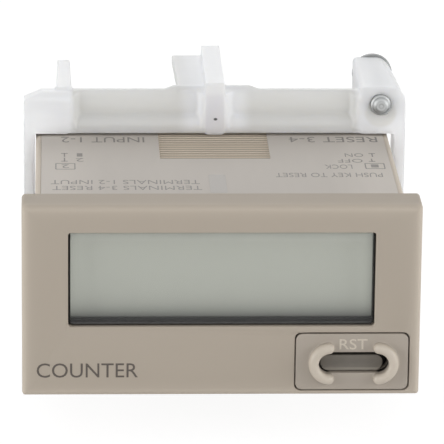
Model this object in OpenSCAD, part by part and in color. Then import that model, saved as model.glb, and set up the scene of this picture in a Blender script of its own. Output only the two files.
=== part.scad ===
// Panel counter: a display window, a guarded reset key, two side switches, four screw
// terminals and the white bracket that clamps it into a panel.
// X runs to the right seen from the front, Y to the rear and Z up, in millimetres.
// The origin is the middle of the panel cut-out, on the plane where the bezel meets the panel.

/* [Panel cut-out] */
// Width of the hole in the panel
cutout_w = 45; // [44:0.5:52]
// Height of the hole in the panel
cutout_h = 22.2; // [22:0.2:28]
// Gap between the case and the hole on each side
panel_gap = 0.1; // [0.05:0.05:0.3]

/* [Case] */
// How far the bezel covers the panel at the left and right
bezel_lap_x = 1.5; // [1.2:0.1:4]
// How far the bezel covers the panel above and below
bezel_lap_z = 0.9; // [0.8:0.1:3]
// Thickness of the bezel in front of the panel
bezel_t = 5.2; // [4.8:0.1:7]
// Rounding of the bezel's front edges
bezel_round = 0.8; // [0.3:0.1:1]
// Rounding of the bezel's four corners
bezel_corner = 0.5; // [0.3:0.1:1.5]
// Length of the case behind the panel
case_l = 48.5; // [47.5:0.5:60]
// Rounding of the case's long edges
case_corner = 0.6; // [0.3:0.1:1]
// Thickness of the case's walls
case_wall = 1.4; // [1.2:0.1:1.6]
// Thickness of the case's front wall
front_wall = 2.4; // [2.2:0.1:2.8]

/* [Ratchet on the case] */
// Width of the ridged strip on the top and bottom
ratchet_w = 13.8; // [8:0.2:16]
// Where the ridges begin behind the panel
ratchet_start = 18.4; // [10:0.2:30]
// Distance from one ridge to the next
ratchet_pitch = 1; // [0.8:0.1:2]
// Depth of the cuts between the ridges
ratchet_depth = 0.45; // [0.2:0.05:0.6]
// Flat on top of each ridge
ratchet_flat = 0.2; // [0.1:0.05:0.4]

/* [Display] */
// Width of the window opening
window_w = 36.9; // [30:0.1:37.5]
// Height of the window opening
window_h = 11.8; // [8:0.1:12]
// Height of the window's middle above the case's middle
window_up = 2.7; // [2:0.1:2.8]
// Corner radius of the window opening
window_corner = 0.35; // [0.2:0.05:1]
// How far the window's face sits below the bezel's face
window_sink = 0.4; // [0.1:0.1:0.8]
// Gap around the window in its opening
window_gap = 0.2; // [0.1:0.05:0.3]
// How far the window's lip reaches past the opening
window_lip = 0.8; // [0.5:0.1:0.8]
// Thickness of the window's lip
window_lip_t = 1; // [0.6:0.1:1.2]
// Thickness of each display glass
glass_t = 0.7; // [0.5:0.1:0.7]
// Height of the contact ledge below the rear glass
glass_ledge = 1.8; // [1.6:0.1:2]
// Thickness of each polarising film
film_t = 0.2; // [0.1:0.05:0.2]
// Distance from the front wall to the display's circuit board
display_room = 5.8; // [5.6:0.1:7]

/* [Reset key] */
// Length of the insert around the key
pad_l = 13.6; // [12.5:0.1:14]
// Height of the insert
pad_h = 7.1; // [7:0.1:7.6]
// Thickness of the insert
pad_t = 1.2; // [0.8:0.1:1.4]
// Corner radius of the insert
pad_corner = 0.8; // [0.4:0.1:1.2]
// Gap around the insert
pad_gap = 0.15; // [0.05:0.05:0.2]
// Distance from the insert to the bezel's right edge
pad_side = 1.4; // [1.2:0.1:2]
// Distance from the insert to the bezel's lower edge
pad_under = 0.75; // [0.7:0.05:0.8]
// How far the key's slot lies below the insert's middle
key_drop = 0.1; // [0:0.05:0.2]
// How far the key's slot lies to the right of the insert's middle
key_side = 0.2; // [0:0.05:0.3]
// Length of the key's slot
slot_l = 8.5; // [6:0.1:8.8]
// Height of the key's slot
slot_h = 2.6; // [2:0.1:2.7]
// Gap above and below the key, were it in the middle of its slot
key_gap = 0.3; // [0.2:0.05:0.35]
// Gap at each end of the key, were it in the middle of its slot
key_end_gap = 0.45; // [0.3:0.05:0.5]
// How far the key hangs to the left in its slot
key_left = 0.2; // [0:0.05:0.25]
// How far the key hangs down in its slot
key_low = 0.2; // [0:0.05:0.2]
// How far the key sits below the insert's face
key_sink = 0.55; // [0.3:0.05:0.8]
// How far the key moves when pressed
key_travel = 0.7; // [0.3:0.1:0.7]
// Depth of the finger hollow in the key
key_hollow = 0.25; // [0.1:0.05:0.3]
// Overall length of the pair of guards
guard_l = 10.9; // [10:0.1:11.2]
// Overall height of the guards
guard_h = 5.2; // [4.8:0.1:5.2]
// Width of the guards' round section
guard_w = 1.3; // [0.8:0.1:1.3]
// How far the guards stand out from the insert
guard_rise = 1.2; // [0.7:0.1:1.4]
// Angle that each guard turns through
guard_turn = 170; // [120:5:180]

/* [Side switches] */
// Where the switches' middle lies behind the panel
switch_back = 17.8; // [14:0.2:22]
// How far the switches' sliders move
slider_travel = 2; // [1:0.1:2.4]
// Width of the slider's tip
slider_w = 1.6; // [1.2:0.1:2]
// How far the slider's tip stays below the case's side
slider_sink = 0.5; // [0.3:0.1:0.8]

/* [Inside] */
// Thickness of the circuit boards
board_t = 1; // [0.8:0.1:1.2]
// Height of the main board above the case's floor
board_up = 1.4; // [1.2:0.1:2.2]
// Diameter of the battery
battery_d = 14.5; // [10:0.1:14.6]
// Length of the battery
battery_l = 25; // [15:0.5:26]
// How far the battery's axis lies ahead of the terminal screws' tips
battery_back = 9.1; // [8:0.1:12]

/* [Terminals] */
// Depth of the terminal chambers
chamber_depth = 6; // [5.6:0.1:6.4]
// Thickness of the terminal block's floor
block_floor = 2; // [1.6:0.1:2.4]
// Thickness of the walls between the chambers
barrier_t = 1.2; // [0.8:0.1:1.4]
// Height of the terminal screws above the case's middle
terminal_up = 0.6; // [0:0.1:1]
// Diameter of the terminal screws
terminal_d = 3.5; // [2.6:0.1:3.6]
// Diameter of the terminal screws' heads
terminal_head_d = 6.2; // [5:0.1:6.4]
// Side of the square washers
washer_w = 7; // [6.6:0.1:7.6]

/* [Bracket] */
// Where the bracket's front stands behind the panel
bracket_back = 28.4; // [6:0.2:29]
// Gap between the bracket and the case's sides, were it in the middle
bracket_gap_x = 0.45; // [0.4:0.05:0.6]
// How far the bracket sits to the right of the case's middle
bracket_side = 0.3; // [0:0.05:0.3]
// Gap between the bracket and the case's top and bottom
bracket_gap_z = 0.3; // [0.2:0.05:0.5]
// Thickness of the bracket's side walls
bracket_wall = 1.4; // [1.2:0.1:2.5]
// Depth of the bracket's frame from front to rear
bracket_depth = 5.6; // [4.6:0.1:8]
// Height of the bars above and below the case
bar_h = 5.4; // [5:0.1:6]
// Height of the lip along the bars
lip_h = 2.3; // [1.5:0.1:3]
// How far the lip sits behind the end blocks
lip_sink = 0.2; // [0.1:0.1:0.6]
// How far the bars' web sits behind the end blocks
web_sink = 1; // [0.8:0.1:2]
// Thickness of the bars' web
web_t = 1.6; // [1.2:0.1:2.5]
// Radius of the hollow fillets from the web to the fin and the end blocks
fillet_r = 2; // [2:0.1:2.6]
// Width of the end blocks
block_w = 6.1; // [5.6:0.1:7]
// Length of the screw bosses
boss_l = 15; // [10:0.1:15.5]
// Width of the screw bosses
boss_w = 5.8; // [5.2:0.1:6]
// How far the bosses stand above the bars
boss_rise = 0.8; // [0.2:0.1:1.5]
// How much narrower the bosses are at the rear than at the front
boss_taper = 0.75; // [0.3:0.05:0.8]
// Width of the ribs opposite the bosses
rib_w = 2; // [1.5:0.1:3]
// Length of the ratchet tongues from the bracket's front
tongue_l = 18.9; // [16:0.1:20]
// Width of the ratchet tongues
tongue_w = 11; // [8:0.5:12]
// Thickness of the ratchet tongues
tongue_t = 0.9; // [0.7:0.1:1.2]
// Width of the stiffening fin on each tongue
fin_w = 2.4; // [1.6:0.1:3]
// Height of the fin's top above the bars
fin_rise = 1.3; // [0.6:0.1:2]
// Width of the thumb plate beside the fin
thumb_w = 3.8; // [3:0.1:5]
// Thickness of the thumb plate
thumb_t = 1.3; // [0.8:0.1:1.6]

/* [Clamp screws] */
// Diameter of the clamp screws
clamp_d = 2.6; // [2.5:0.1:3]
// Gap around the clamp screws in their bores
clamp_gap = 0.05; // [0.03:0.01:0.08]
// How far the screws' tips stand out of the bosses
clamp_out = 0.8; // [0.2:0.1:3]
// Diameter of the clamp screws' heads
clamp_head_d = 5.4; // [4.5:0.1:5.6]
// Distance from the bracket's outer side to the screws' axes
clamp_side = 3.2; // [2.9:0.1:3.2]
// Height of the screws' axes above the bracket's opening
clamp_up = 3.85; // [3.4:0.05:3.9]

/* [Hidden] */
$fn = 48;
// Overshoot of cuts beyond the faces they pass through
over = 1;
// Gap between fixed pieces that are pushed together
seat_gap = 0.1;

case_w = cutout_w - 2 * panel_gap;
case_h = cutout_h - 2 * panel_gap;
cavity_w = case_w - 2 * case_wall;
cavity_h = case_h - 2 * case_wall;
bezel_w = cutout_w + 2 * bezel_lap_x;
bezel_h = cutout_h + 2 * bezel_lap_z;
front_y = -bezel_t;
wall_y = front_y + front_wall;

// The ridges' crests lie just under the case's face
crest_drop = 0.05;
ridges = floor((case_l - ratchet_start) / ratchet_pitch);

label_t = 0.12;
label_edge = 0.7;
label_gap = 0.02;

window_lip_y = wall_y - window_lip_t;
film_y = wall_y;
film_margin = 0.3;
glass_y = film_y + film_t;
rear_glass_y = glass_y + glass_t;
reflector_y = rear_glass_y + glass_t;
holder_y = reflector_y + film_t;
holder_wall = 0.8;
holder_plate = 1;
holder_floor = 0.4;
glass_side = 1.55;
glass_over = 0.75;
glass_under = 0.3;
glass_w = window_w + 2 * glass_side;
glass_top = window_up + window_h / 2 + glass_over;
rear_glass_bottom = window_up - window_h / 2 - glass_under;
glass_bottom = rear_glass_bottom - glass_ledge;
strip_w = window_w;
strip_h = glass_ledge - 3 * seat_gap;
strip_z = glass_bottom + seat_gap;
holder_bottom = glass_bottom - seat_gap - holder_floor;
display_board_y = wall_y + display_room;
display_back_y = display_board_y + board_t;
board_gap = 0.3;

pad_x = bezel_w / 2 - pad_side - pad_l / 2;
pad_z = -bezel_h / 2 + pad_under + pad_h / 2;
key_x = pad_x + key_side;
key_z = pad_z - key_drop;
key_flange_t = 0.8;
key_flange_lip = 0.35;
key_flange_rim = 0.2;
key_rest_gap = 0.05;
key_flange_y = wall_y + key_rest_gap + key_flange_t;
key_press_gap = 0.15;
key_stem_d = 2;
dome_d = 1.8;
dome_h = 0.6;
reset_body_l = 6;
reset_body_h = 3;
reset_body_t = 2.5;
dome_y = display_board_y - reset_body_t - dome_h;
key_stem_y = dome_y - key_travel - key_press_gap;

floor_z = -cavity_h / 2;
board_z = floor_z + board_up;
board_top = board_z + board_t;
rail_w = 1.4;
rail_h = 1;
block_y = case_l - chamber_depth - block_floor;
chamber_y = case_l - chamber_depth;

switch_l = 8.6;
switch_h = 3.8;
switch_t = 3.8;
switch_z = board_top + switch_h / 2;
switch_face = cavity_w / 2 - board_gap;
slider_h = 1.4;
slider_collar = 0.25;
slider_gap = 0.15;
slider_depth = 1.9;
slider_tip = case_w / 2 - slider_sink;

tab_t = 0.2;
tab_w = 5;
tab_foot = 3;
tab_rise = 3;

contact_t = 0.8;
contact_w = 6.6;
tail_w = 3;
tail_l = 5;
washer_t = 0.8;
terminal_head_h = 2.2;
terminal_l = 8;
block_w_out = cavity_w - 2 * seat_gap;
block_h_out = cavity_h - 2 * seat_gap;
terminal_pitch = (block_w_out - barrier_t) / 4;
terminal_head_y = chamber_y + contact_t + washer_t;
terminal_tip_y = terminal_head_y - terminal_l;
battery_y = terminal_tip_y - battery_back;
battery_z = board_top + battery_d / 2 + seat_gap;
hook_z = 4;
hook_w = 2.6;
hook_l = 2;
hook_out = 1;
hook_y = chamber_y + 1;

opening_x = case_w / 2 + bracket_gap_x;
opening_z = case_h / 2 + bracket_gap_z;
bracket_x = opening_x + bracket_wall;
bar_top = opening_z + bar_h;
bracket_rear = bracket_back + bracket_depth;
web_y = bracket_back + web_sink;
web_rear = web_y + web_t;
// The web leans back by half its thickness towards its top
web_lean = web_t / 2;
web_roll_r = (pow(bar_h - lip_h, 2) + pow(web_lean, 2)) / (2 * web_lean);
boss_rear = bracket_back + boss_l;
boss_top = bar_top + boss_rise;
tongue_rear = bracket_back + tongue_l;
fin_top = bar_top + fin_rise;
clamp_x = bracket_x - clamp_side;
clamp_z = opening_z + clamp_up;
clamp_tip_y = bracket_back - clamp_out;

// Helpers that give a flat outline its depth along one axis
module along_x(x0, x1) {
    translate([x0, 0, 0]) rotate([90, 0, 90]) linear_extrude(x1 - x0) children();
}

module along_y(y0, y1) {
    translate([0, y1, 0]) rotate([90, 0, 0]) linear_extrude(y1 - y0) children();
}

module along_z(z0, z1) {
    translate([0, 0, z0]) linear_extrude(z1 - z0) children();
}

module box(from, to) {
    translate(from) cube(to - from);
}

// The same box on the left or right side, with side -1 or 1
module side_box(side, from, to) {
    x0 = min(side * from[0], side * to[0]);
    x1 = max(side * from[0], side * to[0]);
    box([x0, from[1], from[2]], [x1, to[1], to[2]]);
}

module rounded(w, h, r) {
    square([w - 2 * r, h], center = true);
    square([w, h - 2 * r], center = true);
    for (sx = [-1, 1], sy = [-1, 1])
        translate([sx * (w / 2 - r), sy * (h / 2 - r)]) circle(r);
}

module pill(l, h) {
    square([l - h, h], center = true);
    for (s = [-1, 1])
        translate([s * (l - h) / 2, 0]) circle(h / 2);
}

// A bar whose round section follows a profile turned about the Y axis, tip forward
module turned_y(x, y, z) {
    translate([x, y, z]) rotate([-90, 0, 0]) rotate_extrude() children();
}

// Case

// The bezel is the shape that three rounded outlines have in common
module bezel_block() {
    tail = 4;
    depth = bezel_t + tail;
    intersection() {
        along_y(front_y, 0) rounded(bezel_w, bezel_h, bezel_corner);
        along_z(-bezel_h, bezel_h)
            translate([0, front_y + depth / 2]) rounded(bezel_w, depth, bezel_round);
        along_x(-bezel_w, bezel_w)
            translate([front_y + depth / 2, 0]) rounded(depth, bezel_h, bezel_round);
    }
}

// Sawtooth cut for the top ridges, upright to the front and sloped to the rear
module ratchet_cut() {
    top = case_h / 2;
    last = ratchet_start + ridges * ratchet_pitch;
    crest = top - crest_drop;
    along_x(-ratchet_w / 2, ratchet_w / 2)
        polygon(concat(
            [[ratchet_start, top + over], [ratchet_start, crest]],
            [for (i = [1 : ridges], corner = [0, 1, 2])
                [ratchet_start + i * ratchet_pitch - (corner < 2 ? ratchet_flat : 0),
                    corner == 0 ? top - ratchet_depth : crest]],
            [[last, top + over]]));
}

module label_outline(gap) {
    translate([0, case_l / 2])
        difference() {
            square([case_w - 2 * (label_edge - gap), case_l - 2 * (label_edge - gap)], center = true);
            translate([-ratchet_w / 2, ratchet_start - case_l / 2]) square([ratchet_w, case_l]);
        }
}

module window_outline(grow) {
    translate([0, window_up]) rounded(window_w + 2 * grow, window_h + 2 * grow, window_corner);
}

module case() {
    color("#b3a797")
    union() {
        difference() {
            union() {
                bezel_block();
                along_y(wall_y, case_l) rounded(case_w, case_h, case_corner);
            }
            along_y(wall_y, case_l + over) square([cavity_w, cavity_h], center = true);
            along_y(front_y - over, wall_y) window_outline(0);
            along_y(window_lip_y, wall_y + over) window_outline(window_lip);
            box([-glass_w / 2 - seat_gap, wall_y, glass_bottom - seat_gap],
                [glass_w / 2 + seat_gap, holder_y, glass_top + seat_gap]);
            along_y(front_y - over, front_y + pad_t)
                translate([pad_x, pad_z]) rounded(pad_l + 2 * pad_gap, pad_h + 2 * pad_gap, pad_corner);
            along_y(front_y, wall_y + over) translate([key_x, key_z]) pill(slot_l, slot_h);
            ratchet_cut();
            rotate([0, 180, 0]) ratchet_cut();
            along_z(case_h / 2 - label_t, case_h / 2 + over) label_outline(label_gap);
            for (side = [-1, 1]) {
                slider_window(side);
                hook_windows(side);
            }
        }
        for (side = [-1, 1])
            board_rail(side);
    }
}

module slider_window(side) {
    half_y = (slider_w + slider_travel) / 2 + 2 * slider_gap;
    half_z = slider_h / 2 + 2 * slider_gap;
    side_box(side, [cavity_w / 2 - over, switch_back - half_y, switch_z - half_z],
        [case_w / 2 + over, switch_back + half_y, switch_z + half_z]);
}

module hook_windows(side) {
    for (z = [-hook_z, hook_z])
        side_box(side, [cavity_w / 2 - over, hook_y - seat_gap, z - hook_w / 2 - seat_gap],
            [case_w / 2 + over, hook_y + hook_l + seat_gap, z + hook_w / 2 + seat_gap]);
}

module board_rail(side) {
    side_box(side, [cavity_w / 2 - rail_w, display_back_y + board_gap, board_z - rail_h],
        [cavity_w / 2 + case_wall / 2, block_y - board_gap, board_z]);
}

module rating_label() {
    color("#d6d4cf")
    along_z(case_h / 2 - label_t, case_h / 2) label_outline(0);
}

// Display

module display_window() {
    color("#dfe3dc", 0.4)
    union() {
        along_y(front_y + window_sink, wall_y) window_outline(-window_gap);
        along_y(window_lip_y, wall_y) window_outline(window_lip - seat_gap);
    }
}

module front_polariser() {
    color("#9aa096")
    along_y(film_y, glass_y) window_outline(film_margin);
}

module front_glass() {
    color("#a9afa6")
    box([-glass_w / 2, glass_y, glass_bottom], [glass_w / 2, rear_glass_y, glass_top]);
}

module rear_glass() {
    color("#a3a99f")
    box([-glass_w / 2, rear_glass_y, rear_glass_bottom], [glass_w / 2, reflector_y, glass_top]);
}

module reflector_film() {
    color("#8f958b")
    along_y(reflector_y, holder_y) window_outline(film_margin);
}

// A tray that backs the glass, with a slot for the contact strip and a relief at the board
module display_holder() {
    half_w = cavity_w / 2 - seat_gap;
    holder_top = cavity_h / 2 - seat_gap;
    relief_y = holder_y + holder_plate;
    color("#e6e4de")
    difference() {
        box([-half_w, glass_y, holder_bottom], [half_w, display_board_y, holder_top]);
        box([-glass_w / 2 - seat_gap, glass_y - over, glass_bottom - seat_gap],
            [glass_w / 2 + seat_gap, holder_y, holder_top + over]);
        box([-strip_w / 2 - seat_gap, glass_y, strip_z - seat_gap],
            [strip_w / 2 + seat_gap, display_board_y + over, strip_z + strip_h + seat_gap]);
        box([-half_w + 2 * holder_wall, relief_y, strip_z + strip_h + holder_wall],
            [half_w - 2 * holder_wall, display_board_y + over, holder_top - holder_wall]);
    }
}

module contact_strip() {
    color("#3a3634")
    box([-strip_w / 2, rear_glass_y, strip_z], [strip_w / 2, display_board_y, strip_z + strip_h]);
}

module display_board() {
    half_w = cavity_w / 2 - board_gap;
    half_h = cavity_h / 2 - board_gap;
    color("#5d7a45")
    box([-half_w, display_board_y, -half_h], [half_w, display_back_y, half_h]);
}

module counter_chip() {
    chip_x = -8;
    chip_z = 2;
    body_w = 9;
    lead_reach = 10.8;
    lead_w = 0.4;
    lead_t = 0.25;
    chip_t = 1.2;
    leads = 8;
    lead_pitch = 1;
    color("#2b2b2d")
    translate([chip_x, 0, chip_z])
        union() {
            along_y(display_back_y + lead_t, display_back_y + chip_t) rounded(body_w, body_w, 0.4);
            for (i = [0 : leads - 1]) {
                lead_x = (i - (leads - 1) / 2) * lead_pitch;
                box([lead_x - lead_w / 2, display_back_y, -lead_reach / 2],
                    [lead_x + lead_w / 2, display_back_y + 2 * lead_t, lead_reach / 2]);
            }
        }
}

module timing_crystal() {
    can_d = 2;
    can_l = 6;
    wire_d = 0.3;
    wire_l = 1.5;
    wire_side = 0.35;
    crystal_x = 6;
    crystal_z = 6;
    color("#c3c5c6")
    translate([crystal_x, display_back_y + can_d / 2, crystal_z]) rotate([0, 90, 0])
        union() {
            cylinder(h = can_l, d = can_d);
            for (s = [-1, 1])
                translate([0, s * wire_side, -wire_l]) cylinder(h = wire_l + wire_d, d = wire_d);
        }
}

// Bent pins that join the two boards
module board_link_pins() {
    pins = 10;
    pitch = 2;
    pin_w = 0.5;
    reach = 3;
    rise = 1.2;
    color("#c9b06a")
    for (i = [0 : pins - 1]) {
        x = (i - (pins - 1) / 2) * pitch;
        along_x(x - pin_w / 2, x + pin_w / 2)
            polygon([[display_back_y, board_top + rise], [display_back_y, board_top + rise + pin_w],
                [display_back_y + reach, board_top + rise + pin_w], [display_back_y + reach, board_top],
                [display_back_y + reach - pin_w, board_top],
                [display_back_y + reach - pin_w, board_top + rise]]);
    }
}

// Reset key

// One bowed guard with round ends, on the right or, turned half round, on the left
module guard(side) {
    mid_r = (guard_h - guard_w) / 2;
    bar_r = guard_w / 2;
    root = pad_t / 2;
    centre_x = (guard_l - guard_h) / 2;
    stand = guard_rise - bar_r;
    translate([key_x, front_y, key_z]) rotate([90, 0, 0]) rotate([0, 0, side > 0 ? 0 : 180])
        translate([centre_x, 0, 0]) {
            rotate([0, 0, -guard_turn / 2])
                rotate_extrude(angle = guard_turn)
                    translate([mid_r, 0]) {
                        translate([0, stand]) circle(bar_r);
                        translate([-bar_r, -root]) square([guard_w, root + stand]);
                    }
            for (s = [-1, 1])
                rotate([0, 0, s * guard_turn / 2]) translate([mid_r, 0, 0]) {
                    translate([0, 0, stand]) sphere(bar_r);
                    translate([0, 0, -root]) cylinder(h = root + stand, r = bar_r);
                }
        }
}

module reset_pad() {
    color("#a89c8e")
    difference() {
        union() {
            along_y(front_y, front_y + pad_t)
                translate([pad_x, pad_z]) rounded(pad_l, pad_h, pad_corner);
            guard(-1);
            guard(1);
        }
        along_y(front_y - over, front_y + pad_t + over)
            translate([key_x, key_z]) pill(slot_l, slot_h);
    }
}

// The key's hollow is a shallow cylinder cut along its length
module reset_button() {
    face_y = front_y + key_sink;
    key_h = slot_h - 2 * key_gap;
    hollow_r = (pow(key_h / 2, 2) + pow(key_hollow, 2)) / (2 * key_hollow);
    color("#837a70")
    difference() {
        union() {
            along_y(face_y, wall_y + 2 * key_rest_gap)
                translate([key_x - key_left, key_z - key_low]) pill(slot_l - 2 * key_end_gap, key_h);
            along_y(wall_y + key_rest_gap, key_flange_y)
                translate([key_x, key_z]) pill(slot_l + 2 * key_flange_lip, slot_h + 2 * key_flange_rim);
            along_y(key_flange_y - key_rest_gap, key_stem_y) translate([key_x, key_z]) circle(d = key_stem_d);
        }
        translate([key_x - slot_l, face_y - hollow_r + key_hollow, key_z - key_low])
            rotate([0, 90, 0]) cylinder(h = 2 * slot_l, r = hollow_r);
    }
}

module reset_switch() {
    body_y = display_board_y - reset_body_t;
    color("#3b3d40")
    union() {
        box([key_x - reset_body_l / 2, body_y, key_z - reset_body_h / 2],
            [key_x + reset_body_l / 2, display_board_y, key_z + reset_body_h / 2]);
        along_y(dome_y, body_y + dome_h) translate([key_x, key_z]) circle(d = dome_d);
    }
}

// Main board and battery

module main_board() {
    half_w = cavity_w / 2 - board_gap;
    color("#5d7a45")
    box([-half_w, display_back_y + board_gap, board_z], [half_w, block_y - board_gap, board_top]);
}

// A capacitor and two resistors in front of each gap between the contacts
module input_components() {
    cap_w = 1.6;
    cap_l = 2;
    cap_h = 1.2;
    chip_w = 0.8;
    chip_l = 1.6;
    chip_h = 0.5;
    chip_side = 2;
    row_back = 3;
    row_y = block_y - board_gap - row_back;
    color("#6c5a48")
    for (i = [-1, 0, 1]) {
        x = i * terminal_pitch;
        box([x - cap_w / 2, row_y, board_top], [x + cap_w / 2, row_y + cap_l, board_top + cap_h]);
        for (s = [-1, 1])
            box([x + s * chip_side - chip_w / 2, row_y, board_top],
                [x + s * chip_side + chip_w / 2, row_y + chip_l, board_top + chip_h]);
    }
}

// A plain cell with a crimped end and a round cap
module battery_cell() {
    r = battery_d / 2;
    bevel = 0.5;
    crimp = 0.6;
    crimp_w = 1.2;
    crimp_back = 2;
    cap_r = 2.6;
    cap_h = 1;
    body_l = battery_l - cap_h;
    color("#6f8f6a")
    translate([-battery_l / 2, battery_y, battery_z]) rotate([0, 90, 0])
        rotate_extrude()
            polygon([[0, 0], [r - bevel, 0], [r, bevel], [r, body_l - crimp_back - crimp_w],
                [r - crimp, body_l - crimp_back - crimp_w / 2], [r, body_l - crimp_back],
                [r, body_l - bevel], [r - bevel, body_l], [cap_r, body_l], [cap_r, battery_l],
                [0, battery_l]]);
}

module battery_tab(side) {
    end = battery_l / 2;
    y0 = battery_y - tab_w / 2;
    y1 = battery_y + tab_w / 2;
    side_box(side, [end, y0, board_top], [end + tab_t, y1, battery_z + tab_rise]);
    side_box(side, [end, y0, board_top], [end + tab_foot, y1, board_top + tab_t]);
}

module battery_tab_positive() {
    color("#c9c7bf")
    battery_tab(1);
}

module battery_tab_negative() {
    color("#c9c7bf")
    battery_tab(-1);
}

// Side switches

module switch_body(side) {
    reach = slider_w / 2 + slider_collar + slider_travel / 2 + slider_gap;
    mouth = slider_w / 2 + slider_travel / 2 + slider_gap;
    half_z = slider_h / 2 + slider_collar + slider_gap;
    mouth_z = slider_h / 2 + slider_gap;
    lip = 0.5;
    y0 = switch_back - switch_l / 2;
    y1 = switch_back + switch_l / 2;
    difference() {
        side_box(side, [switch_face - switch_t, y0, board_top], [switch_face, y1, board_top + switch_h]);
        side_box(side,
            [switch_face - lip - slider_depth - slider_gap, switch_back - reach, switch_z - half_z],
            [switch_face - lip, switch_back + reach, switch_z + half_z]);
        side_box(side, [switch_face - lip - slider_gap, switch_back - mouth, switch_z - mouth_z],
            [switch_face + over, switch_back + mouth, switch_z + mouth_z]);
    }
}

// The slider rests at the front end of its travel
module switch_slider(side) {
    lip = 0.5;
    collar_x = switch_face - lip - slider_gap;
    y = switch_back - slider_travel / 2;
    side_box(side, [collar_x - slider_depth + slider_gap, y - slider_w / 2, switch_z - slider_h / 2],
        [slider_tip, y + slider_w / 2, switch_z + slider_h / 2]);
    side_box(side, [collar_x - slider_depth + slider_gap, y - slider_w / 2 - slider_collar,
        switch_z - slider_h / 2 - slider_collar],
        [collar_x, y + slider_w / 2 + slider_collar, switch_z + slider_h / 2 + slider_collar]);
}

module key_switch_body() {
    color("#46484b")
    switch_body(1);
}

module key_switch_slider() {
    color("#dcdad3")
    switch_slider(1);
}

module range_switch_body() {
    color("#46484b")
    switch_body(-1);
}

module range_switch_slider() {
    color("#dcdad3")
    switch_slider(-1);
}

// Terminals

function terminal_x(i) = (i - 1.5) * terminal_pitch;

module terminal_block() {
    half_w = block_w_out / 2;
    half_h = block_h_out / 2;
    color("#34363a")
    difference() {
        union() {
            box([-half_w, block_y, -half_h], [half_w, chamber_y, half_h]);
            for (i = [0 : 4]) {
                x = (i - 2) * terminal_pitch;
                box([x - barrier_t / 2, block_y, -half_h], [x + barrier_t / 2, case_l, half_h]);
            }
            for (side = [-1, 1], z = [-hook_z, hook_z])
                snap_hook(side, z);
        }
        for (i = [0 : 3]) {
            along_y(block_y - over, chamber_y + over)
                translate([terminal_x(i), terminal_up]) circle(d = terminal_d + 4 * seat_gap);
            box([terminal_x(i) - tail_w / 2 - seat_gap, block_y - over, board_top - seat_gap],
                [terminal_x(i) + tail_w / 2 + seat_gap, chamber_y + over,
                    board_top + contact_t + seat_gap]);
        }
    }
}

// A wedge that springs into the case's side window, steep to the rear
module snap_hook(side, z) {
    root = block_w_out / 2 - barrier_t / 2;
    face = block_w_out / 2;
    tip = cavity_w / 2 + hook_out;
    along_z(z - hook_w / 2, z + hook_w / 2)
        polygon([[side * root, hook_y], [side * face, hook_y], [side * tip, hook_y + hook_l * 0.7],
            [side * tip, hook_y + hook_l], [side * root, hook_y + hook_l]]);
}

// Angled plates that carry the screws outside and are soldered to the board inside
module terminal_contacts() {
    top = terminal_up + washer_w / 2;
    color("#c8b273")
    for (i = [0 : 3])
        difference() {
            union() {
                box([terminal_x(i) - contact_w / 2, chamber_y, terminal_up - washer_w / 2],
                    [terminal_x(i) + contact_w / 2, chamber_y + contact_t, top]);
                box([terminal_x(i) - tail_w / 2, chamber_y, board_top],
                    [terminal_x(i) + tail_w / 2, chamber_y + contact_t, terminal_up]);
                box([terminal_x(i) - tail_w / 2, block_y - tail_l, board_top],
                    [terminal_x(i) + tail_w / 2, chamber_y + contact_t, board_top + contact_t]);
            }
            along_y(chamber_y - over, chamber_y + contact_t + over)
                translate([terminal_x(i), terminal_up]) circle(d = terminal_d + seat_gap);
        }
}

module terminal_washers() {
    washer_y = chamber_y + contact_t;
    color("#d2d0ca")
    for (i = [0 : 3])
        along_y(washer_y, washer_y + washer_t)
            translate([terminal_x(i), terminal_up])
                difference() {
                    rounded(washer_w, washer_w, 0.6);
                    circle(d = terminal_d + 2 * seat_gap);
                }
}

// A cross-recessed screw along Y with its tip at the front
module panhead_screw(x, tip_y, z, length, d, head_d, head_h) {
    r = d / 2;
    head_r = head_d / 2;
    tip_bevel = 0.45;
    head_bevel = 0.6;
    recess_w = 0.9;
    recess_l = head_d * 0.55;
    recess_t = head_h * 0.55;
    top_y = tip_y + length + head_h;
    difference() {
        turned_y(x, tip_y, z)
            polygon([[0, 0], [r - tip_bevel, 0], [r, tip_bevel], [r, length], [head_r, length],
                [head_r, length + head_h - head_bevel], [head_r - head_bevel, length + head_h],
                [0, length + head_h]]);
        for (turn = [0, 90])
            translate([x, top_y, z]) rotate([0, turn, 0])
                box([-recess_l / 2, -recess_t, -recess_w / 2], [recess_l / 2, over, recess_w / 2]);
    }
}

module terminal_screws() {
    color("#cfccc4")
    for (i = [0 : 3])
        panhead_screw(terminal_x(i), terminal_tip_y, terminal_up,
            terminal_l, terminal_d, terminal_head_d, terminal_head_h);
}

// Bracket

// A screw boss: square inside, flat on top, round about the screw outside and narrower to the rear
module screw_boss() {
    inner_r = 0.5;
    x0 = bracket_x - boss_w;
    rear_r = clamp_side - boss_taper;
    along_y(bracket_back, boss_rear) {
        translate([x0, opening_z]) square([clamp_x - x0, boss_top - opening_z - inner_r]);
        translate([x0 + inner_r, opening_z]) square([clamp_x - x0 - inner_r, boss_top - opening_z]);
        translate([x0 + inner_r, boss_top - inner_r]) circle(inner_r);
    }
    along_z(opening_z, clamp_z)
        polygon([[clamp_x - over, bracket_back], [bracket_x, bracket_back],
            [clamp_x + rear_r, boss_rear], [clamp_x - over, boss_rear]]);
    intersection() {
        turned_y(clamp_x, bracket_back, clamp_z)
            polygon([[0, 0], [clamp_side, 0], [rear_r, boss_l], [0, boss_l]]);
        box([clamp_x - over, bracket_back, clamp_z], [bracket_x + over, boss_rear, boss_top]);
    }
}

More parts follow.
